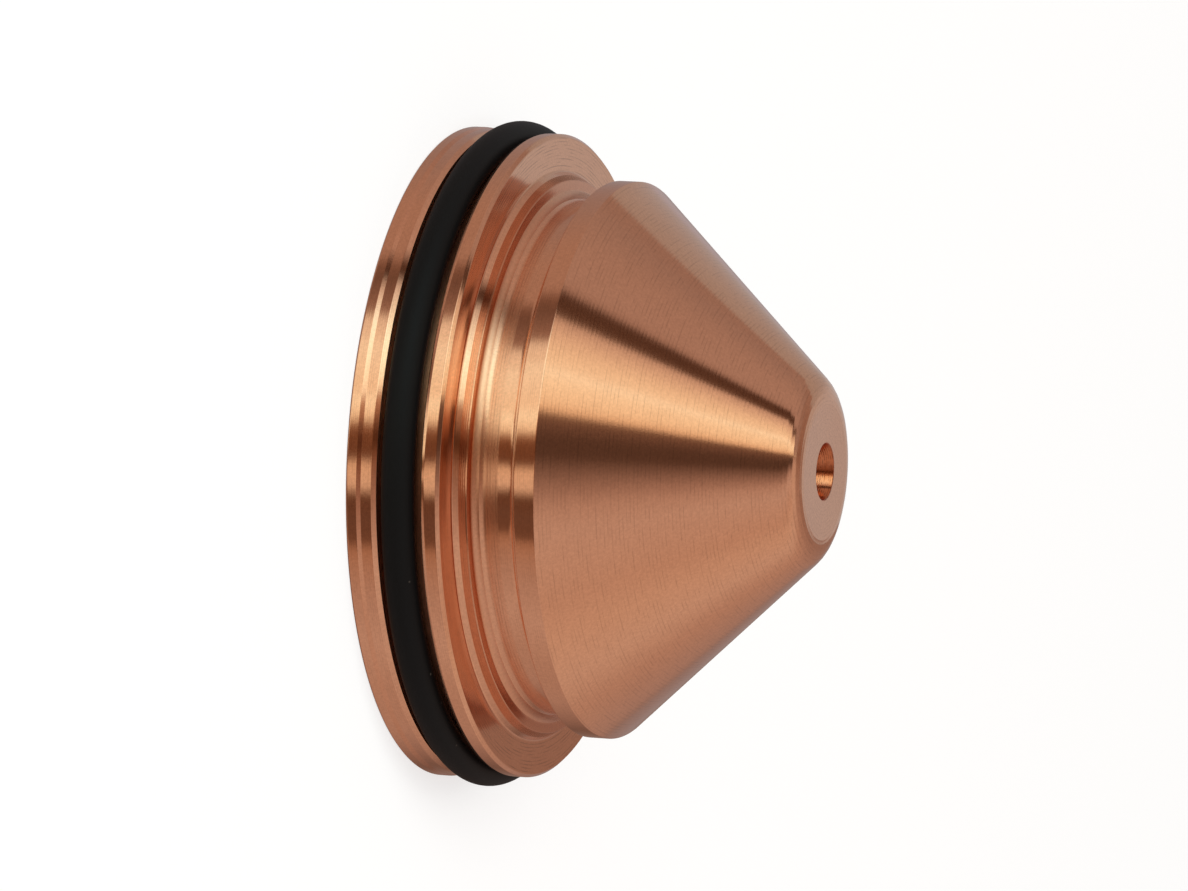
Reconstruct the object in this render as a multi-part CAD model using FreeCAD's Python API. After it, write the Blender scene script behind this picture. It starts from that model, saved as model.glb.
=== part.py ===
import FreeCAD, Part
import math
import os

# Plasma torch shield cap: one turned copper body with a rubber seal ring in its flange.
# Millimetres. The turning axis is +Z, the rear face lies on z = 0 and the nose points up.

# Flange, from the rear face forwards. Lengths run along the axis.
REAR_LAND_DIA = 36.0
REAR_LAND_LENGTH = 0.61
REAR_EDGE_BREAK = 0.10
STEP_LENGTH = 0.23
MIDDLE_LAND_DIA = 35.8
MIDDLE_LAND_LENGTH = 0.59
FRONT_LAND_DIA = 35.6
FRONT_LAND_LENGTH = 0.64
FRONT_CHAMFER = 0.18

# Seal groove in the flange, and the round rubber ring in it.
GROOVE_WIDTH = 2.50
GROOVE_FLOOR_DIA = 33.3
REAR_BEVEL_LENGTH = 0.27
REAR_BEVEL_DEPTH = 0.17
FRONT_BEVEL_LENGTH = 0.22
FRONT_BEVEL_DEPTH = 0.08
RING_SECTION = 1.78
RING_REAR_GAP = 0.23

# Low conical shoulder between the flange face and the neck.
SHOULDER_LENGTH = 0.68
SHOULDER_SLOPE = 32.0
SHOULDER_FOOT_RADIUS = 0.15
SHOULDER_EDGE_BREAK = 0.04

# Turned neck, and the rim in front of it.
NECK_DIA = 28.34
NECK_WIDTH = 2.66
NECK_REAR_RADIUS = 0.65
NECK_FRONT_RADIUS = 0.70
RIM_DIA = 30.74
RIM_LENGTH = 1.16
RIM_EDGE_BREAK = 0.04

# Cone and nose.
CONE_HALF_ANGLE = 43.0
OVERALL_HEIGHT = 21.21
NOSE_BLEND_RADIUS = 2.20
ORIFICE_DIA = 3.13
ORIFICE_LENGTH = 2.00
ORIFICE_EDGE_BREAK = 0.03
ORIFICE_LEAD_IN = 0.35

# Inside: the rear register, the straight bore and the inner cone.
REGISTER_DIA = 30.4
REGISTER_DEPTH = 1.50
REGISTER_CHAMFER = 0.30
BORE_DIA = 25.2
BORE_EDGE_BREAK = 0.15
CONE_WALL = 2.40
FLOOR_CORNER_RADIUS = 0.80

# Stations along the axis, worked out from the lengths above.
step_z = REAR_LAND_LENGTH
middle_land_z = step_z + STEP_LENGTH
rear_bevel_z = middle_land_z + MIDDLE_LAND_LENGTH
groove_rear_z = rear_bevel_z + REAR_BEVEL_LENGTH
groove_front_z = groove_rear_z + GROOVE_WIDTH
front_land_z = groove_front_z + FRONT_BEVEL_LENGTH
front_land_end_z = front_land_z + FRONT_LAND_LENGTH
flange_face_z = front_land_end_z + FRONT_CHAMFER
shoulder_end_z = flange_face_z + SHOULDER_LENGTH
neck_rear_z = shoulder_end_z + SHOULDER_EDGE_BREAK
neck_front_z = neck_rear_z + NECK_WIDTH
cone_start_z = neck_front_z + RIM_LENGTH
floor_z = OVERALL_HEIGHT - ORIFICE_LENGTH

# Radii.
rear_land_r = REAR_LAND_DIA / 2
middle_land_r = MIDDLE_LAND_DIA / 2
front_land_r = FRONT_LAND_DIA / 2
groove_floor_r = GROOVE_FLOOR_DIA / 2
neck_r = NECK_DIA / 2
rim_r = RIM_DIA / 2
orifice_r = ORIFICE_DIA / 2
register_r = REGISTER_DIA / 2
bore_r = BORE_DIA / 2
shoulder_top_r = rim_r - SHOULDER_EDGE_BREAK


def cone_radius(z):
    """Outside radius of the cone, carried on past both of its ends."""
    return rim_r - (z - cone_start_z) * math.tan(math.radians(CONE_HALF_ANGLE))


def inner_cone_radius(z):
    """Inside radius of the cone: the outside one, less the wall measured square to it."""
    return cone_radius(z) - CONE_WALL / math.cos(math.radians(CONE_HALF_ANGLE))


def inner_cone_start():
    """Station where the straight bore runs into the inner cone."""
    return (inner_cone_radius(0) - bore_r) / math.tan(math.radians(CONE_HALF_ANGLE))


def at(r, z):
    """A point of the half section, which is drawn in the XZ plane."""
    return FreeCAD.Vector(r, 0, z)


def rounded_outline(corners):
    """Closed wire through corners (r, z, rounding radius), with tangent arcs where a radius is given."""
    points = [at(r, z) for r, z, rounding in corners]
    starts, ends, arcs = [], [], []
    for i, (r, z, rounding) in enumerate(corners):
        corner = points[i]
        back = (points[i - 1] - corner).normalize()
        ahead = (points[(i + 1) % len(points)] - corner).normalize()
        if not rounding:
            starts.append(corner)
            ends.append(corner)
            arcs.append(None)
            continue
        half = back.getAngle(ahead) / 2
        tangent_length = rounding / math.tan(half)
        to_centre = (back + ahead).normalize()
        middle = corner + to_centre * (rounding / math.sin(half) - rounding)
        starts.append(corner + back * tangent_length)
        ends.append(corner + ahead * tangent_length)
        arcs.append(Part.Arc(starts[i], middle, ends[i]))
    edges = []
    for i in range(len(corners)):
        if arcs[i]:
            edges.append(arcs[i].toShape())
        edges.append(Part.LineSegment(ends[i], starts[(i + 1) % len(corners)]).toShape())
    return Part.Wire(edges)


def turned(corners):
    """Solid made by turning a closed half section all the way round the Z axis."""
    face = Part.Face(rounded_outline(corners))
    return face.revolve(at(0, 0), at(0, 1), 360)


def flange_corners():
    """Rear face edge, the three lands and the seal groove, up to the flange's front face."""
    return [
        (rear_land_r - REAR_EDGE_BREAK, 0, 0),
        (rear_land_r, REAR_EDGE_BREAK, 0),
        (rear_land_r, step_z, 0),
        (middle_land_r, middle_land_z, 0),
        (middle_land_r, rear_bevel_z, 0),
        (middle_land_r - REAR_BEVEL_DEPTH, groove_rear_z, 0),
        (groove_floor_r, groove_rear_z, 0),
        (groove_floor_r, groove_front_z, 0),
        (front_land_r - FRONT_BEVEL_DEPTH, groove_front_z, 0),
        (front_land_r, front_land_z, 0),
        (front_land_r, front_land_end_z, 0),
        (front_land_r - FRONT_CHAMFER, flange_face_z, 0),
    ]


def neck_corners():
    """Shoulder, neck and rim: a shoulder that slopes in, then a neck with a round at each end."""
    shoulder_foot_r = shoulder_top_r + SHOULDER_LENGTH * math.tan(math.radians(SHOULDER_SLOPE))
    return [
        (shoulder_foot_r, flange_face_z, SHOULDER_FOOT_RADIUS),
        (shoulder_top_r, shoulder_end_z, 0),
        (shoulder_top_r - SHOULDER_EDGE_BREAK, neck_rear_z, 0),
        (neck_r, neck_rear_z, NECK_REAR_RADIUS),
        (neck_r, neck_front_z, NECK_FRONT_RADIUS),
        (rim_r - RIM_EDGE_BREAK, neck_front_z, 0),
        (rim_r, neck_front_z + RIM_EDGE_BREAK, 0),
    ]


def nose_corners():
    """Cone, the round that runs into the flat nose, and the orifice down to its lead-in."""
    return [
        (rim_r, cone_start_z, 0),
        (cone_radius(OVERALL_HEIGHT), OVERALL_HEIGHT, NOSE_BLEND_RADIUS),
        (orifice_r + ORIFICE_EDGE_BREAK, OVERALL_HEIGHT, 0),
        (orifice_r, OVERALL_HEIGHT - ORIFICE_EDGE_BREAK, 0),
        (orifice_r, floor_z + ORIFICE_LEAD_IN, 0),
        (orifice_r + ORIFICE_LEAD_IN, floor_z, 0),
    ]


def inside_corners():
    """Floor behind the orifice, inner cone, straight bore and rear register."""
    return [
        (inner_cone_radius(floor_z), floor_z, FLOOR_CORNER_RADIUS),
        (bore_r, inner_cone_start(), 0),
        (bore_r, REGISTER_DEPTH + BORE_EDGE_BREAK, 0),
        (bore_r + BORE_EDGE_BREAK, REGISTER_DEPTH, 0),
        (register_r, REGISTER_DEPTH, 0),
        (register_r, REGISTER_CHAMFER, 0),
        (register_r + REGISTER_CHAMFER, 0, 0),
    ]


def make_shield_body():
    """The whole copper body, turned from one bar."""
    return turned(flange_corners() + neck_corners() + nose_corners() + inside_corners())


def make_o_ring():
    """Round rubber ring, snug on the groove floor and nearer the rear wall of the groove."""
    section_r = RING_SECTION / 2
    centre_z = groove_rear_z + RING_REAR_GAP + section_r
    return Part.makeTorus(groove_floor_r + section_r, section_r, at(0, centre_z), at(0, 1))


def main():
    os.makedirs("parts", exist_ok=True)
    nodes = {
        "shield_body": make_shield_body(),
        "o_ring": make_o_ring(),
    }
    for name, shape in nodes.items():
        shape.exportStep(os.path.join("parts", name + ".step"))
        print(name, "valid", shape.isValid(), "volume", round(shape.Volume, 3), "mm3")


main()
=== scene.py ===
import math
from collections import namedtuple

import bpy
import numpy as np
from bpy.props import FloatProperty, FloatVectorProperty, IntProperty, PointerProperty
from mathutils import Matrix, Vector


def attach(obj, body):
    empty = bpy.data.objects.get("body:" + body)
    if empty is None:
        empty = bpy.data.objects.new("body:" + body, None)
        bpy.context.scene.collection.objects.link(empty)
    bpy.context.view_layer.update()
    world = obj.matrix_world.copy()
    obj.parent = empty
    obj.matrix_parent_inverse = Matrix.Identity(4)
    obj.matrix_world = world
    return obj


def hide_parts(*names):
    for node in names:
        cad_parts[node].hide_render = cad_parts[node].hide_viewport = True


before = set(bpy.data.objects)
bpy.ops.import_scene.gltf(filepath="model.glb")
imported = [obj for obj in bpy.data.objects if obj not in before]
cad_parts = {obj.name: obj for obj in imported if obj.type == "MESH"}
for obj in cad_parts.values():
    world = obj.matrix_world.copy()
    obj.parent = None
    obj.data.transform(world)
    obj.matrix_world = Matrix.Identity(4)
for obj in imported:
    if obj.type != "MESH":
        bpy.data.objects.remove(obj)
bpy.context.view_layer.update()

bl_info = {
    "name": "Plasma shield cap",
    "version": (1, 0, 0),
    "blender": (4, 5, 0),
    "location": "3D View > Sidebar > Shield cap",
    "description": "Turned copper shield cap with a rubber seal ring, on a pale studio floor",
    "category": "Add Mesh",
}

MM = 0.001

# Finish of each stretch of the half section: feed in millimetres, depth of tool mark in micrometres,
# how dark the crest of each mark is painted, as painted shade, how far the stretch has tarnished, how far
# it is painted deep orange as painted shade and reflected copper glow, how rough the tool left it, and how
# steeply its marks lean, as rise against run.
Finish = namedtuple("Finish", "feed depth crest tarnish deep roughness lean", defaults=[0.0])
FINISHES = {
    "cone": Finish(0.224, 1.8, 0.14, 0.3, 0.0, 0.12),
    "nose": Finish(0.20, 1.2, 0.12, 0.8, 0.0, 0.14),
    "flange face": Finish(0.19, 2.2, 0.3, 0.2, 0.0, 0.13),
    "shoulder crest": Finish(0.105, 3.0, 0.2, 0.4, 0.2, 0.15, -0.6),
    "neck wall": Finish(0.16, 0.6, 0.0, 0.3, 0.45, 0.2, -0.12),
    "neck bend": Finish(0.16, 0.6, 0.0, 0.3, 0.0, 0.33, -0.5),
    "neck round": Finish(0.16, 0.6, 0.0, 0.3, 0.0, 0.25, 0.08),
    "neck front": Finish(0.16, 0.6, 0.0, 0.3, 0.0, 0.35, 0.35),
    "neck": Finish(0.16, 2.2, 0.2, 0.3, 0.0, 0.25),
    "land": Finish(0.12, 0.6, 0.1, 0.3, 0.0, 0.125),
    "ramp": Finish(0.07, 1.5, 0.1, 0.6, 0.2, 0.14),
    "groove": Finish(0.10, 2.0, 0.2, 0.5, 0.4, 0.35),
    "orifice": Finish(0.12, 5.0, 0.55, 0.3, 1.0, 0.17, -0.42),
    "inside": Finish(0.18, 1.0, 0.2, 0.4, 0.0, 0.2),
    "rubber": Finish(1.0, 0.0, 0.0, 0.0, 0.0, 0.55),
}

# Stretches of the outside with a finish of their own, from station to station along the axis, in
# millimetres. The first set takes in flat faces too, the second only what faces outwards.
WHOLE_STRETCHES = {
    "groove": (1.69, 4.21),
    "neck wall": (5.95, 5.97),
    "neck bend": (5.97, 6.25),
    "neck round": (6.25, 6.55),
    "neck front": (8.10, 8.63),
}
SIDE_STRETCHES = {
    "ramp": (0.61, 0.84),
    "shoulder crest": (5.56, 5.94),
    "neck": (6.55, 7.30),
}
CONE_START = 9.8
NOSE_START = 20.0

# How far forwards or backwards a flat face looks, at least, where 1 is along the axis.
FLAT_FACE = 0.95

# Radii, in millimetres: the orifice lies within the first, and the hollow inside within the second.
ORIFICE_REACH = 2.0
INSIDE_REACH = 13.5


# Settings

class ShieldBodySettings(bpy.types.PropertyGroup):
    """Sizes and finish of the turned copper body."""

    segments: IntProperty(name="Segments", description="Flats round the turned body", default=320, min=24)
    edge_radius: FloatProperty(
        name="Broken edge", description="Radius on each sharp corner, in millimetres", default=0.035)
    mark_strength: FloatProperty(
        name="Tool marks", description="Depth of all tool marks, against the depth they were cut to",
        default=1.0)
    copper: FloatVectorProperty(
        name="Copper", description="Colour of bare copper", subtype="COLOR", default=(0.80, 0.42, 0.255))
    dull_copper: FloatVectorProperty(
        name="Dull copper", description="Colour where the copper has begun to tarnish",
        subtype="COLOR", default=(0.74, 0.375, 0.225))
    # Painted shade: this deep orange stands in for the shade and the copper's own reflections on the
    # shoulder crest, in the neck's corner, the ramp, the groove and the orifice.
    painted_shade_copper: FloatVectorProperty(
        name="Deep copper", description="Colour of torn copper, on the shoulder and in the orifice",
        subtype="COLOR", default=(0.55, 0.17, 0.07))
    roughness: FloatProperty(
        name="Roughness", description="Roughness of all the copper, against what each finish gives",
        default=1.0)
    grain: FloatProperty(name="Grain", description="How much the fine grain varies the colour", default=0.3)
    grain_scale: FloatProperty(name="Grain scale", description="Grains to the metre", default=6500.0)
    anisotropy: FloatProperty(
        name="Anisotropy", description="How far the tool marks spread a reflection along the profile",
        default=0.55)


class SealRingSettings(bpy.types.PropertyGroup):
    """Sizes and finish of the rubber seal ring."""

    segments: IntProperty(name="Segments", description="Flats round the ring", default=320, min=24)
    rubber: FloatVectorProperty(
        name="Rubber", description="Colour of the rubber", subtype="COLOR",
        default=(0.0035, 0.0033, 0.0034))
    dust: FloatVectorProperty(
        name="Dust", description="Colour of the few specks", subtype="COLOR", default=(0.06, 0.05, 0.04))
    roughness: FloatProperty(name="Roughness", description="Roughness of the moulded rubber", default=0.55)


class StudioSettings(bpy.types.PropertyGroup):
    """Floor, surround and camera."""

    floor_colour: FloatVectorProperty(
        name="Floor", description="Colour of the floor", subtype="COLOR", default=(0.93, 0.93, 0.93))
    floor_radius: FloatProperty(
        name="Floor radius", description="Radius of the floor", unit="LENGTH", default=4.0)
    shadow_share: FloatProperty(
        name="Shadow share", description="How much of the floor's own shading the camera sees", default=0.3)
    floor_lamp: FloatProperty(
        name="Floor lamp", description="Power of the overhead lamp that evens out the floor", unit="POWER",
        default=9.0)
    card_distance: FloatProperty(
        name="Card distance", description="How far behind the axis the pale card hangs", unit="LENGTH",
        default=0.15)
    card_width: FloatVectorProperty(
        name="Card width", description="The card's two upright edges, along X", unit="LENGTH", size=2,
        default=(-0.15, 0.010))
    card_height: FloatVectorProperty(
        name="Card height", description="The card's lower and upper edge", unit="LENGTH", size=2,
        default=(0.0, 0.14))
    card_near: FloatProperty(
        name="Card near", description="Brightness of the card behind the cap", default=0.53)
    card_far: FloatProperty(
        name="Card far", description="Brightness of the card beyond the cap", default=0.44)
    card_fade: FloatVectorProperty(
        name="Card fade", description="Where the card turns from far to near, along X", unit="LENGTH",
        size=2, default=(-0.050, -0.030))
    lens: FloatProperty(
        name="Lens", description="Focal length on a 36 mm sensor, in millimetres", default=277.8)
    camera_elevation: FloatProperty(
        name="Camera elevation", description="Height of the camera above the flange plane", subtype="ANGLE",
        default=math.radians(19.17))
    camera_roll: FloatProperty(
        name="Camera roll", description="Fall of the turning axis across the picture", subtype="ANGLE",
        default=math.radians(3.24))
    camera_place: FloatVectorProperty(
        name="Camera place", description="Camera from the rear face, to its own right, up and back",
        unit="LENGTH", default=(0.007361, 0.000301, 0.50843))


# Half sections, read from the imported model

def half_section(node):
    """Closed list of (r, z) points, in millimetres, where the node's mesh crosses the half plane y = 0."""
    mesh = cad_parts[node].data
    spots = {}
    for vertex in mesh.vertices:
        if vertex.co.x > 0 and abs(vertex.co.y) < 1e-7:
            spots[vertex.index] = (round(vertex.co.x / MM, 4), round(vertex.co.z / MM, 4))
    neighbours = {spot: set() for spot in spots.values()}
    for edge in mesh.edges:
        a, b = (spots.get(i) for i in edge.vertices)
        if a and b and a != b:
            neighbours[a].add(b)
            neighbours[b].add(a)
    if any(len(beside) != 2 for beside in neighbours.values()):
        raise RuntimeError(f"the half section of {node} isn't one closed outline")
    start = min(neighbours, key=lambda spot: (spot[1], spot[0]))
    outline = [start, min(neighbours[start])]
    while outline[-1] != start:
        outline.append(next(spot for spot in neighbours[outline[-1]] if spot != outline[-2]))
    points = [np.array(spot) for spot in outline[:-1]]
    twice_area = sum(a[0] * b[1] - b[0] * a[1] for a, b in zip(points, points[1:] + points[:1]))
    if twice_area > 0:
        points = points[:1] + points[:0:-1]
    return points


def turn_between(before, after):
    """Angle from one direction of the section to the next, in radians."""
    cross = before[0] * after[1] - before[1] * after[0]
    return math.atan2(cross, before @ after)


def break_edges(points, radius):
    """The outline with a small round on each sharp corner; corners within a round stay as they are.

    A round takes at most the longest share of the straights beside it.
    """
    sharp = math.radians(20)
    step = math.radians(24)
    longest = 0.3
    broken = []
    for i, corner in enumerate(points):
        back, ahead = points[i - 1] - corner, points[(i + 1) % len(points)] - corner
        back_length, ahead_length = np.linalg.norm(back), np.linalg.norm(ahead)
        back, ahead = back / back_length, ahead / ahead_length
        turn = turn_between(-back, ahead)
        if abs(turn) < sharp:
            broken.append(corner)
            continue
        reach = min(radius * math.tan(abs(turn) / 2), longest * back_length, longest * ahead_length)
        own_radius = reach / math.tan(abs(turn) / 2)
        to_centre = (back + ahead) / np.linalg.norm(back + ahead)
        centre = corner + to_centre * own_radius / math.cos(turn / 2)
        first = corner + back * reach - centre
        pieces = max(2, math.ceil(abs(turn) / step))
        for k in range(pieces + 1):
            a = turn * k / pieces
            broken.append(centre + np.array([
                first[0] * math.cos(a) - first[1] * math.sin(a),
                first[0] * math.sin(a) + first[1] * math.cos(a)]))
    return broken


def support_ends(points, distance):
    """The outline with a point near both ends of each long straight, which keeps its shading flat."""
    supported = []
    for here, there in zip(points, points[1:] + points[:1]):
        supported.append(here)
        length = np.linalg.norm(there - here)
        if length > 4 * distance:
            ahead = (there - here) / length
            supported += [here + ahead * distance, there - ahead * distance]
    return supported


NEAR_STATION = 0.02


def break_straights(points, stations):
    """The outline with a point added wherever a slope that faces outwards crosses one of the stations."""
    broken = []
    for here, there in zip(points, points[1:] + points[:1]):
        broken.append(here)
        for station in stations:
            crosses = here[1] > station + NEAR_STATION and there[1] < station - NEAR_STATION
            if crosses and here[0] > INSIDE_REACH:
                share = (here[1] - station) / (here[1] - there[1])
                broken.append(here + (there - here) * share)
    return broken


def stretch_at(stretches, z):
    """Name of the stretch that takes in the station, or None."""
    return next((name for name, (start, end) in stretches.items() if start < z < end), None)


def body_finish(here, there):
    """Name of the finish on the stretch of the body's outline from here to there."""
    run = there - here
    outward, forward = -run[1] / np.linalg.norm(run), run[0] / np.linalg.norm(run)
    r, z = (here + there) / 2
    if outward < -0.01:
        return "orifice" if r < ORIFICE_REACH else "inside"
    if z > CONE_START and outward > 0.05:
        return "cone"
    whole = stretch_at(WHOLE_STRETCHES, z)
    if whole:
        return whole
    if abs(forward) > FLAT_FACE:
        return "nose" if z > NOSE_START else "flange face"
    return stretch_at(SIDE_STRETCHES, z) or "land"


def rubber_finish(here, there):
    """The ring is moulded, so it has one finish all over."""
    return "rubber"


def section_object(name, points, finish_of):
    """Object whose mesh is the closed outline, with path length, tool turns and finish at each point."""
    loop = points + points[:1]
    path, turns, leant, near = [0.0], [0.0], [0.0], [[] for _ in loop]
    for i, (here, there) in enumerate(zip(loop, loop[1:])):
        length = np.linalg.norm(there - here)
        finish = FINISHES[finish_of(here, there)]
        path.append(path[-1] + length)
        turns.append(turns[-1] + length / finish.feed)
        leant.append(leant[-1] + length * finish.lean / MM)
        near[i].append(finish)
        near[i + 1].append(finish)
    path = np.array(path)
    mesh = bpy.data.meshes.new(name)
    mesh.from_pydata([(r * MM, 0, z * MM) for r, z in loop], [(i, i + 1) for i in range(len(loop) - 1)], [])
    columns = {
        "path_mm": path,
        "tool_turns": turns,
        "lean": np.array(leant) - leant[-1] * path / path[-1],
        "mark_depth": [min(finish.depth for finish in beside) for beside in near],
        "crest": [min(finish.crest for finish in beside) for beside in near],
        "tarnish": [np.mean([finish.tarnish for finish in beside]) for beside in near],
        "deep": [np.mean([finish.deep for finish in beside]) for beside in near],
        "roughness": [np.mean([finish.roughness for finish in beside]) for beside in near],
    }
    for column, values in columns.items():
        data = mesh.attributes.new(column, "FLOAT", "POINT").data
        data.foreach_set("value", np.array(values, np.float32))
    piece = bpy.data.objects.new(name, mesh)
    bpy.context.scene.collection.objects.link(piece)
    return piece, list(columns)


# Turning a half section, with Geometry Nodes

class NodeTree:
    """Adds and joins the nodes of one tree in a line each."""

    def __init__(self, tree):
        self.tree = tree

    def add(self, kind, settings=None, **inputs):
        """New node with its settings, and with inputs as values or sockets, named or numbered i0, i1."""
        node = self.tree.nodes.new(kind)
        for key, value in (settings or {}).items():
            setattr(node, key, value)
        for key, value in inputs.items():
            place = int(key[1:]) if key[0] == "i" and key[1:].isdigit() else key.replace("_", " ")
            socket = node.inputs[place]
            if isinstance(value, bpy.types.NodeSocket):
                self.tree.links.new(value, socket)
            else:
                socket.default_value = value
        return node

    def math(self, operation, *values):
        """Output of a Math node."""
        inputs = {f"i{i}": value for i, value in enumerate(values)}
        return self.add("ShaderNodeMath", {"operation": operation}, **inputs).outputs[0]

    def mix(self, share, before, after, blend="MIX"):
        """Colour that passes from the first to the second as the share grows."""
        settings = {"data_type": "RGBA", "blend_type": blend}
        return self.add("ShaderNodeMix", settings, i0=share, i6=before, i7=after).outputs[2]


def lathe_tree(columns):
    """Geometry Nodes tree that turns an outline in the XZ plane all the way round the Z axis."""
    tree = bpy.data.node_groups.new("Lathe", "GeometryNodeTree")
    face = tree.interface
    face.new_socket("Half section", in_out="INPUT", socket_type="NodeSocketGeometry")
    face.new_socket("Segments", in_out="INPUT", socket_type="NodeSocketInt")
    face.new_socket("Material", in_out="INPUT", socket_type="NodeSocketMaterial")
    face.new_socket("Piece", in_out="OUTPUT", socket_type="NodeSocketGeometry")
    t = NodeTree(tree)
    given = t.add("NodeGroupInput").outputs
    section, segments = given["Half section"], given["Segments"]
    points = t.add("GeometryNodeAttributeDomainSize", i0=section).outputs["Point Count"]
    rows = t.math("ADD", segments, 1.0)
    grid = t.add("GeometryNodeMeshGrid", Vertices_X=points, Vertices_Y=rows)
    index = t.add("GeometryNodeInputIndex").outputs[0]
    column = t.math("FLOOR", t.math("DIVIDE", t.math("ADD", index, 0.5), rows))
    row = t.math("SUBTRACT", index, t.math("MULTIPLY", column, rows))
    angle = t.math("MULTIPLY", t.math("DIVIDE", row, segments), 2 * math.pi)

    def sampled(data_type, field):
        settings = {"data_type": data_type, "domain": "POINT"}
        return t.add("GeometryNodeSampleIndex", settings, Geometry=section, Value=field,
                     Index=column).outputs[0]

    place = t.add("ShaderNodeVectorRotate", {"rotation_type": "Z_AXIS"}, Angle=angle,
                  Vector=sampled("FLOAT_VECTOR", t.add("GeometryNodeInputPosition").outputs[0])).outputs[0]
    mesh = t.add("GeometryNodeStoreNamedAttribute", {"data_type": "FLOAT2", "domain": "CORNER"},
                 Geometry=grid.outputs["Mesh"], Name="turning", Value=grid.outputs["UV Map"]).outputs[0]
    for name in columns:
        field = t.add("GeometryNodeInputNamedAttribute", {"data_type": "FLOAT"}, Name=name).outputs[0]
        mesh = t.add("GeometryNodeStoreNamedAttribute", {"data_type": "FLOAT", "domain": "POINT"},
                     Geometry=mesh, Name=name, Value=sampled("FLOAT", field)).outputs[0]
    mesh = t.add("GeometryNodeSetPosition", Geometry=mesh, Position=place).outputs[0]
    mesh = t.add("GeometryNodeMergeByDistance", Geometry=mesh, Distance=1e-7).outputs[0]
    mesh = t.add("GeometryNodeSetShadeSmooth", Geometry=mesh).outputs[0]
    mesh = t.add("GeometryNodeRealizeInstances", Geometry=mesh).outputs[0]
    mesh = t.add("GeometryNodeSetMaterial", Geometry=mesh, Material=given["Material"]).outputs[0]
    t.add("NodeGroupOutput", i0=mesh)
    return tree


def turn_on_lathe(name, points, finish_of, segments, material):
    """Plain mesh object, turned from the outline."""
    piece, columns = section_object(name, points, finish_of)
    modifier = piece.modifiers.new("Lathe", "NODES")
    modifier.node_group = lathe_tree(columns)
    identifiers = {item.name: item.identifier for item in modifier.node_group.interface.items_tree}
    modifier[identifiers["Segments"]] = segments
    modifier[identifiers["Material"]] = material
    outline = piece.data
    evaluated = piece.evaluated_get(bpy.context.evaluated_depsgraph_get())
    turned = bpy.data.meshes.new_from_object(evaluated, preserve_all_data_layers=True,
                                             depsgraph=bpy.context.evaluated_depsgraph_get())
    piece.modifiers.clear()
    piece.data = turned
    turned.name = name
    bpy.data.meshes.remove(outline)
    if len(turned.polygons) != len(points) * segments:
        raise RuntimeError(f"{name} wasn't turned whole: {len(turned.polygons)} faces")
    return piece


# Materials

def new_material(name):
    """Material with a bare Principled shader, as (material, tree helper, shader)."""
    material = bpy.data.materials.new(name)
    material.use_nodes = True
    t = NodeTree(material.node_tree)
    shader = next(node for node in material.node_tree.nodes if node.type == "BSDF_PRINCIPLED")
    return material, t, shader


def set_surface(material, surface):
    """Joins another shader to the material's output."""
    output = next(node for node in material.node_tree.nodes if node.type == "OUTPUT_MATERIAL")
    material.node_tree.links.new(surface, output.inputs["Surface"])


def attribute(t, name):
    """Value of a point attribute of the piece."""
    return t.add("ShaderNodeAttribute", {"attribute_name": name}).outputs["Fac"]


def around_axis(t):
    """(cosine, sine, angle) of the place round the turning axis."""
    place = t.add("ShaderNodeTexCoord").outputs["Object"]
    flat = t.add("ShaderNodeVectorMath", {"operation": "MULTIPLY"}, i0=place, i1=(1, 1, 0)).outputs[0]
    unit = t.add("ShaderNodeVectorMath", {"operation": "NORMALIZE"}, i0=flat).outputs[0]
    split = t.add("ShaderNodeSeparateXYZ", i0=unit).outputs
    return split[0], split[1], t.math("ARCTAN2", split[1], split[0])


def streaks(t, path, cosine, sine, per_mm, along, detail=2.0):
    """Noise drawn out round the piece: fine along the path in millimetres, slow round the axis."""
    spot = t.add("ShaderNodeCombineXYZ", i0=t.math("MULTIPLY", path, per_mm),
                 i1=t.math("MULTIPLY", cosine, along), i2=t.math("MULTIPLY", sine, along)).outputs[0]
    return t.add("ShaderNodeTexNoise", Vector=spot, Scale=1.0, Detail=detail).outputs["Fac"]


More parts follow.
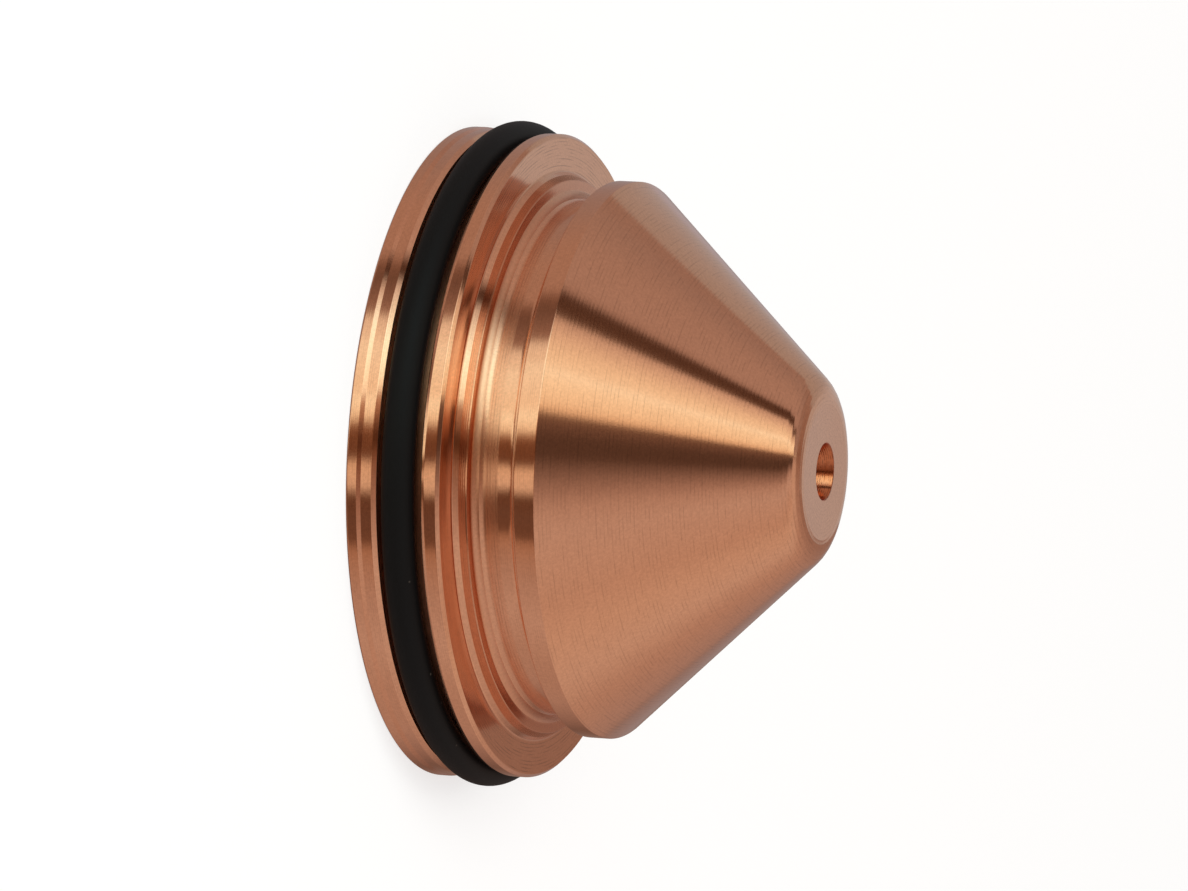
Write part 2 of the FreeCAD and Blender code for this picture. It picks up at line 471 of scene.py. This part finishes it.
def turned_copper(settings):
    """Bare turned copper: tool marks round the axis, fine streaks and a slight tarnish, with painted shade
    on the crest of each mark and a deep orange painted shade and reflected glow where a finish asks for it.
    """
    material, t, shader = new_material("turned_copper")
    path, turns = attribute(t, "path_mm"), attribute(t, "tool_turns")
    cosine, sine, angle = around_axis(t)
    place = t.add("ShaderNodeTexCoord").outputs["Object"]

    phase = t.math("ADD", turns, t.math("DIVIDE", angle, 2 * math.pi))
    across = t.math("SUBTRACT", t.math("FRACT", phase), 0.5)
    scallop = t.math("MULTIPLY", t.math("MULTIPLY", across, across), 4.0)
    uneven = streaks(t, turns, cosine, sine, 0.9, 1.2, 0.0)
    depth = t.math("MULTIPLY", attribute(t, "mark_depth"), settings.mark_strength)
    marks = t.math("MULTIPLY", t.math("MULTIPLY", scallop, uneven), depth)
    grain = t.math("MULTIPLY", streaks(t, path, cosine, sine, 16.0, 0.8), 0.6)
    deep = attribute(t, "deep")
    pit_depth = t.math("ADD", 0.5, t.math("MULTIPLY", deep, 3.0))
    pitting = t.add("ShaderNodeTexNoise", Vector=place, Scale=9000.0).outputs["Fac"]
    pits = t.math("MULTIPLY", pitting, pit_depth)
    height = t.math("ADD", t.math("ADD", marks, grain), t.math("ADD", pits, attribute(t, "lean")))
    bump = t.add("ShaderNodeBump", Strength=1.0, Distance=0.001 * MM, Height=height)

    cloud = t.add("ShaderNodeTexNoise", Vector=place, Scale=260.0, Detail=4.0).outputs["Fac"]
    clouds = t.add("ShaderNodeMapRange", Value=cloud, From_Min=0.42, From_Max=0.72).outputs[0]
    fine = streaks(t, path, cosine, sine, 9.0, 1.5)
    stained = t.math("ADD", t.math("MULTIPLY", t.math("ADD", clouds, fine), 0.3), attribute(t, "tarnish"))
    stain = t.add("ShaderNodeClamp", Value=t.math("MULTIPLY", stained, 0.8)).outputs[0]
    plain = t.mix(stain, (*settings.copper, 1), (*settings.dull_copper, 1))
    # Painted shade: this share paints the stretch deep orange, in place of its shade and the copper
    # reflected into it.
    painted_shade_share = t.math("MULTIPLY", deep, t.math("ADD", t.math("MULTIPLY", fine, 0.6), 0.7))
    copper_with_painted_shade = t.mix(painted_shade_share, plain, (*settings.painted_shade_copper, 1))
    # Painted shade: the crest of each tool mark is darkened in the colour, in broken lines, and in the
    # orifice this darkens the bore as a whole.
    crest = t.add("ShaderNodeMapRange", {"interpolation_type": "SMOOTHSTEP"}, Value=scallop,
                  From_Min=0.25, From_Max=1.0).outputs[0]
    broken = t.add("ShaderNodeMapRange", Value=streaks(t, turns, cosine, sine, 0.9, 9.0, 1.0),
                   From_Min=0.42, From_Max=0.65, To_Max=1.5).outputs[0]
    shade = t.math("MULTIPLY", t.math("MULTIPLY", crest, attribute(t, "crest")), broken)
    speck = t.add("ShaderNodeTexNoise", Vector=place, Scale=settings.grain_scale, Detail=1.0).outputs["Fac"]
    bright = t.math("ADD", 1 - settings.grain / 2, t.math("MULTIPLY", speck, settings.grain))
    bright = t.math("MULTIPLY", bright, t.math("SUBTRACT", 1.03, shade))
    grey = t.add("ShaderNodeCombineXYZ", i0=bright, i1=bright, i2=bright).outputs[0]
    colour = t.mix(1.0, copper_with_painted_shade, grey, "MULTIPLY")
    even = t.math("ADD", 0.9, t.math("MULTIPLY", fine, 0.2))
    rough = t.math("MULTIPLY", t.math("MULTIPLY", attribute(t, "roughness"), settings.roughness), even)

    tree = material.node_tree
    tree.links.new(colour, shader.inputs["Base Color"])
    tree.links.new(rough, shader.inputs["Roughness"])
    tree.links.new(bump.outputs[0], shader.inputs["Normal"])
    tangent = t.add("ShaderNodeTangent", {"direction_type": "UV_MAP", "uv_map": "turning"})
    tree.links.new(tangent.outputs[0], shader.inputs["Tangent"])
    shader.inputs["Metallic"].default_value = 1.0
    shader.inputs["Anisotropic"].default_value = settings.anisotropy
    return material


def black_rubber(settings):
    """Matte moulded rubber with a fine skin and a few pale specks."""
    material, t, shader = new_material("black_rubber")
    place = t.add("ShaderNodeTexCoord").outputs["Object"]
    skin = t.add("ShaderNodeTexNoise", Vector=place, Scale=9000.0, Detail=3.0).outputs["Fac"]
    ripple = t.add("ShaderNodeTexNoise", Vector=place, Scale=900.0, Detail=2.0).outputs["Fac"]
    height = t.math("ADD", t.math("MULTIPLY", skin, 3.0), t.math("MULTIPLY", ripple, 8.0))
    bump = t.add("ShaderNodeBump", Strength=0.8, Distance=0.001 * MM, Height=height)
    specks = t.add("ShaderNodeTexVoronoi", Vector=place, Scale=700.0).outputs["Distance"]
    speck = t.add("ShaderNodeMapRange", Value=specks, From_Min=0.03, From_Max=0.06, To_Min=1.0, To_Max=0.0)
    colour = t.mix(speck.outputs[0], (*settings.rubber, 1), (*settings.dust, 1))
    tree = material.node_tree
    tree.links.new(colour, shader.inputs["Base Color"])
    tree.links.new(bump.outputs[0], shader.inputs["Normal"])
    shader.inputs["Roughness"].default_value = settings.roughness
    shader.inputs["Specular IOR Level"].default_value = 0.13
    return material


def pale_floor(settings):
    """Matte white floor: seen by the camera it is nearly as white as the backdrop, with a faint shadow."""
    material, t, shader = new_material("pale_floor")
    shader.inputs["Base Color"].default_value = (*settings.floor_colour, 1)
    shader.inputs["Roughness"].default_value = 1.0
    shader.inputs["Specular IOR Level"].default_value = 0.0
    white = t.add("ShaderNodeEmission", Color=(1, 1, 1, 1), Strength=1.0).outputs[0]
    seen = t.add("ShaderNodeLightPath").outputs["Is Camera Ray"]
    share = t.math("MULTIPLY", seen, 1 - settings.shadow_share)
    surface = t.add("ShaderNodeMixShader", i0=share, i1=shader.outputs[0], i2=white).outputs[0]
    set_surface(material, surface)
    return material


# Studio surround: what the metal reflects, by angle round a level line across the picture

# Tints of the surround at brightness 0, 0.6 and 1.2: dark gaps are warm, softboxes slightly green.
TINTS = ((0.0, (1.0, 0.5, 0.3)), (0.6, (1.0, 0.86, 0.82)), (1.2, (1.0, 1.17, 1.05)))

# Hot spot of the main softbox: how much it adds to each colour, its middle and its half size (to the right,
# and as an angle above the camera), and how steeply it rises from its edge.
HOT_TINT = (0.30, 0.52, 0.65)
HOT_RIGHT, HOT_HALF_WIDTH = 0.09, 0.48
HOT_ANGLE, HOT_HALF_ANGLE = math.radians(27), math.radians(25)
HOT_RISE = 1.8

# (angle in degrees above the camera, brightness, paleness). Metal that looks straight outwards, as the
# flange's lands do, mirrors the left list. What leans towards the nose, as the cone does, mirrors the right
# list, and what lies between, such as the ramp and the shoulder, mirrors the middle list.
LEFT_SURROUND = [
    (-180, 0.30), (-165, 0.235), (-153, 0.2), (-143, 0.3), (-124, 0.475), (-100, 0.51), (-79, 0.59),
    (-60, 0.51), (-47, 0.475, -0.4), (-40.5, 0.45, -0.8), (-36.5, 0.17, -0.3), (-27, 0.165),
    (-17.5, 0.14, -0.8), (-12.5, 0.82, -0.5), (-4.5, 0.84, -0.7), (0, 0.17, -1.0), (9, 0.19, -1.3),
    (12, 0.3, -1.4), (16.5, 1.1, -0.5), (22.5, 1.22, -0.1), (27.5, 1.08, -0.4), (44, 1.13),
    (49, 1.0, -0.2), (54, 0.97), (57.5, 0.33), (66, 0.22, 0.5), (70, 0.175, 0.5), (75, 0.22),
    (80, 0.46, -0.1), (100, 0.455, -0.1), (127, 0.38, 0.8), (180, 0.32, 1.3),
]
MIDDLE_SURROUND = [
    (-180, 0.35, 0.8), (-155, 0.33, 1.0), (-144, 0.22, 0.3), (-122, 0.47), (-100, 0.555), (-78, 0.6),
    (-45, 0.645), (-38, 0.635), (-28, 0.51), (-20, 0.41), (-8, 0.31, -0.6), (-4.5, 0.19, -1.0),
    (-1, 0.09, -1.3), (2.5, 0.1, -1.3), (9.5, 0.4, -1.0), (13.5, 0.5, -1.2), (17, 1.1, -0.3),
    (28, 1.24), (36, 1.22, 0.3), (44, 1.1, 0.5), (52.5, 0.8, 0.5), (58, 0.07, -1.0), (62, 0.07, -1.0),
    (69, 0.6), (78, 0.53), (93, 0.5, 0.2), (105, 0.47, 0.3), (128, 0.4, 0.6), (150, 0.43, 1.2),
    (160, 0.46, 1.5), (174, 0.45, 1.2), (180, 0.35, 0.8),
]
RIGHT_SURROUND = [
    (-180, 0.30, -0.25), (-140, 0.46), (-124, 0.53, -0.2), (-104, 0.655, -0.1), (-84, 0.66, -0.3),
    (-68, 0.605, -0.35), (-38, 0.61), (-28, 0.545), (-21, 0.405, 0.3), (-13, 0.24, 0.9), (-6, 0.1, 1.0),
    (2, 0.1, 1.0), (7, 0.15, 0.6), (11.2, 0.17), (14.2, 0.98, -0.9), (18, 1.12, -0.6), (27, 1.19, -0.3),
    (31, 1.24), (34.5, 1.13, -0.3), (40, 1.07, -0.4), (48, 0.895, -0.35), (56, 0.68, -0.2),
    (58.3, 0.11), (69, 0.08), (72.8, 0.44, 0.3), (78, 0.48, 0.3), (99, 0.46, 0.35), (121, 0.385, 0.7),
    (135, 0.36, 0.3), (150, 0.36, 0.1), (176, 0.34, -0.2), (180, 0.30, -0.25),
]


# Where the surround passes from one list to the next (tilt of the border, its start and its end, to the
# right), and how far its bands slope up to the right.
LEFT_TO_MIDDLE = (0.1, -0.05, 0.08)
MIDDLE_TO_RIGHT = (-0.2, 0.49, 0.55)
BAND_TILT = 0.09


def surround_colour(brightness, paleness=0.0):
    """Colour of the surround at one brightness; paleness takes it to cool white, or below 0 to orange."""
    levels, tints = zip(*TINTS)
    tint = [np.interp(brightness, levels, channel) for channel in zip(*tints)]
    pale = (1.0, 1 + 0.18 * paleness, 1 + 0.36 * paleness)
    return [brightness * c * p for c, p in zip(tint, pale)]


def surround_ramp(t, stops, angle):
    """Colour ramp over the angle from -180 to 180 degrees."""
    ramp = t.add("ShaderNodeValToRGB", i0=t.math("ADD", t.math("DIVIDE", angle, 2 * math.pi), 0.5))
    elements = ramp.color_ramp.elements
    while len(elements) < len(stops):
        elements.new(0.5)
    for element, (degrees, *light) in zip(elements, stops):
        element.position = degrees / 360 + 0.5
        element.color = (*surround_colour(*light), 1)
    return ramp.outputs["Color"]


def camera_axes(settings):
    """The camera's right, up and back directions in the part's frame, before it is rolled."""
    s, c = math.sin(settings.camera_elevation), math.cos(settings.camera_elevation)
    return Vector((0, s, c)), Vector((-1, 0, 0)), Vector((0, -c, s))


def build_surround(settings):
    """World whose brightness follows the lists above; the camera itself sees a white backdrop."""
    world = bpy.data.worlds.new("studio_surround")
    bpy.context.scene.world = world
    world.use_nodes = True
    t = NodeTree(world.node_tree)
    toward = t.add("ShaderNodeTexCoord").outputs["Generated"]

    def along(axis):
        dot = {"operation": "DOT_PRODUCT"}
        return t.add("ShaderNodeVectorMath", dot, i0=toward, i1=tuple(axis)).outputs["Value"]

    right, up, back = (along(axis) for axis in camera_axes(settings))
    angle = t.math("ARCTAN2", t.math("SUBTRACT", up, t.math("MULTIPLY", right, BAND_TILT)), back)

    def blended(before, after, tilt, start, end):
        """Passes from one colour to the next where the reflection swings from left to right."""
        swing = t.math("ADD", right, t.math("MULTIPLY", back, tilt))
        share = t.add("ShaderNodeMapRange", {"interpolation_type": "SMOOTHSTEP"}, Value=swing,
                      From_Min=start, From_Max=end).outputs[0]
        return t.mix(share, before, after)

    left, middle, far = (surround_ramp(t, stops, angle)
                         for stops in (LEFT_SURROUND, MIDDLE_SURROUND, RIGHT_SURROUND))
    bands = blended(blended(left, middle, *LEFT_TO_MIDDLE), far, *MIDDLE_TO_RIGHT)

    across = t.math("DIVIDE", t.math("SUBTRACT", right, HOT_RIGHT), HOT_HALF_WIDTH)
    above = t.math("DIVIDE", t.math("SUBTRACT", angle, HOT_ANGLE), HOT_HALF_ANGLE)
    square = t.math("ADD", t.math("MULTIPLY", across, across), t.math("MULTIPLY", above, above))
    hot = t.math("MULTIPLY", t.math("SUBTRACT", 1.0, square), HOT_RISE)
    hot = t.add("ShaderNodeClamp", Value=hot).outputs[0]
    glow = t.mix(hot, (1, 1, 1, 1), (*(1 + c for c in HOT_TINT), 1))
    lit = t.mix(1.0, bands, glow, "MULTIPLY")

    seen = t.add("ShaderNodeLightPath").outputs["Is Camera Ray"]
    colour = t.mix(seen, lit, (1, 1, 1, 1))
    background = next(node for node in world.node_tree.nodes if node.type == "BACKGROUND")
    world.node_tree.links.new(colour, background.inputs["Color"])


# Operators

def finish_piece(piece, node):
    """Puts a dressed piece in the place of its node."""
    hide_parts(node)
    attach(piece, "root")


class SHIELDCAP_OT_turn_body(bpy.types.Operator):
    """Turn the copper body on its axis, with broken edges and tool marks"""

    bl_idname = "shieldcap.turn_body"
    bl_label = "Turn the copper body"

    def execute(self, context):
        s = context.scene.shield_body
        stations = SIDE_STRETCHES["shoulder crest"][0], SIDE_STRETCHES["neck"][1]
        outline = break_straights(half_section("shield_body"), stations)
        outline = support_ends(break_edges(outline, s.edge_radius), s.edge_radius)
        piece = turn_on_lathe("shield_body_turned", outline, body_finish, s.segments, turned_copper(s))
        finish_piece(piece, "shield_body")
        return {"FINISHED"}


class SHIELDCAP_OT_mould_ring(bpy.types.Operator):
    """Mould the rubber seal ring that sits in the flange's groove"""

    bl_idname = "shieldcap.mould_ring"
    bl_label = "Mould the seal ring"

    def execute(self, context):
        s = context.scene.seal_ring
        outline = half_section("o_ring")
        piece = turn_on_lathe("o_ring_moulded", outline, rubber_finish, s.segments, black_rubber(s))
        finish_piece(piece, "o_ring")
        return {"FINISHED"}


FLOOR_SIDES = 96
LAMP_PLACE = (-0.25, -0.5, 0.9)
LAMP_SIZE = 0.9


class SHIELDCAP_OT_set_stage(bpy.types.Operator):
    """Lay the floor, light the studio and place the camera"""

    bl_idname = "shieldcap.set_stage"
    bl_label = "Set the stage"

    def execute(self, context):
        s = context.scene.studio
        build_surround(s)
        self.lay_floor(context, s)
        self.hang_card(context, s)
        self.hang_lamp(context, s)
        self.place_camera(context, s)
        return {"FINISHED"}

    def lay_floor(self, context, s):
        """Round floor under the cap; the plain white backdrop beyond it comes from the surround."""
        material = pale_floor(s)
        turns = [2 * math.pi * k / FLOOR_SIDES for k in range(FLOOR_SIDES)]
        ring = [(s.floor_radius * math.cos(a), s.floor_radius * math.sin(a), 0) for a in turns]
        mesh = bpy.data.meshes.new("floor")
        mesh.from_pydata(ring, [], [list(range(FLOOR_SIDES))])
        mesh.materials.append(material)
        floor = bpy.data.objects.new("floor", mesh)
        context.scene.collection.objects.link(floor)
        floor.visible_glossy = False
        floor.visible_shadow = False

    def hang_card(self, context, s):
        """Pale card behind the cap, seen only in the metal: the nose and the flange face reflect it."""
        material, t, _ = new_material("pale_card")
        across = t.add("ShaderNodeSeparateXYZ", i0=t.add("ShaderNodeTexCoord").outputs["Object"]).outputs[0]
        near = t.add("ShaderNodeMapRange", Value=across, From_Min=s.card_fade[0], From_Max=s.card_fade[1],
                     To_Min=s.card_far, To_Max=s.card_near).outputs[0]
        glow = t.add("ShaderNodeEmission", Color=(1.0, 0.99, 1.0, 1), Strength=near).outputs[0]
        set_surface(material, glow)
        (low, high), (bottom, top) = s.card_width, s.card_height
        mesh = bpy.data.meshes.new("card")
        corners = ((high, bottom), (low, bottom), (low, top), (high, top))
        mesh.from_pydata([(x, s.card_distance, z) for x, z in corners], [], [(0, 1, 2, 3)])
        mesh.materials.append(material)
        card = bpy.data.objects.new("card", mesh)
        context.scene.collection.objects.link(card)
        card.visible_camera = False
        card.visible_diffuse = False
        card.visible_shadow = False

    def hang_lamp(self, context, s):
        """Wide lamp overhead that evens out the floor and leaves the metal to the surround."""
        lamp = bpy.data.lights.new("overhead", "AREA")
        lamp.shape = "DISK"
        lamp.size = LAMP_SIZE
        lamp.energy = s.floor_lamp
        hung = bpy.data.objects.new("overhead", lamp)
        context.scene.collection.objects.link(hung)
        hung.location = LAMP_PLACE
        hung.rotation_euler = Vector(LAMP_PLACE).to_track_quat("Z", "Y").to_euler()
        hung.visible_glossy = False
        hung.visible_camera = False

    def place_camera(self, context, s):
        """Camera that sees the axis lie across the picture, nose to the right."""
        right, up, back = camera_axes(s)
        roll = Matrix.Rotation(s.camera_roll, 3, back)
        right, up = roll @ right, roll @ up
        camera = bpy.data.objects.new("camera", bpy.data.cameras.new("camera"))
        camera.data.lens = s.lens
        camera.data.sensor_width = 36.0
        camera.data.clip_start, camera.data.clip_end = 0.05, 100.0
        context.scene.collection.objects.link(camera)
        place = Matrix((right, up, back)).transposed()
        camera.matrix_world = Matrix.Translation(place @ Vector(s.camera_place)) @ place.to_4x4()
        context.scene.camera = camera
        context.scene.view_settings.view_transform = "Standard"


class SHIELDCAP_PT_panel(bpy.types.Panel):
    """Sidebar panel with the steps in order"""

    bl_idname = "SHIELDCAP_PT_panel"
    bl_label = "Shield cap"
    bl_space_type = "VIEW_3D"
    bl_region_type = "UI"
    bl_category = "Shield cap"

    def draw(self, context):
        for step in STEPS:
            self.layout.operator(step.bl_idname)
        for group in ("shield_body", "seal_ring", "studio"):
            box = self.layout.box()
            settings = getattr(context.scene, group)
            for name in settings.__annotations__:
                box.prop(settings, name)


STEPS = (SHIELDCAP_OT_turn_body, SHIELDCAP_OT_mould_ring, SHIELDCAP_OT_set_stage)
CLASSES = (ShieldBodySettings, SealRingSettings, StudioSettings, *STEPS, SHIELDCAP_PT_panel)


def register():
    for cls in CLASSES:
        bpy.utils.register_class(cls)
    bpy.types.Scene.shield_body = PointerProperty(type=ShieldBodySettings)
    bpy.types.Scene.seal_ring = PointerProperty(type=SealRingSettings)
    bpy.types.Scene.studio = PointerProperty(type=StudioSettings)


def unregister():
    for name in ("shield_body", "seal_ring", "studio"):
        delattr(bpy.types.Scene, name)
    for cls in reversed(CLASSES):
        bpy.utils.unregister_class(cls)


def main():
    register()
    bpy.ops.shieldcap.turn_body()
    bpy.ops.shieldcap.mould_ring()
    bpy.ops.shieldcap.set_stage()


if __name__ == "__main__":
    main()
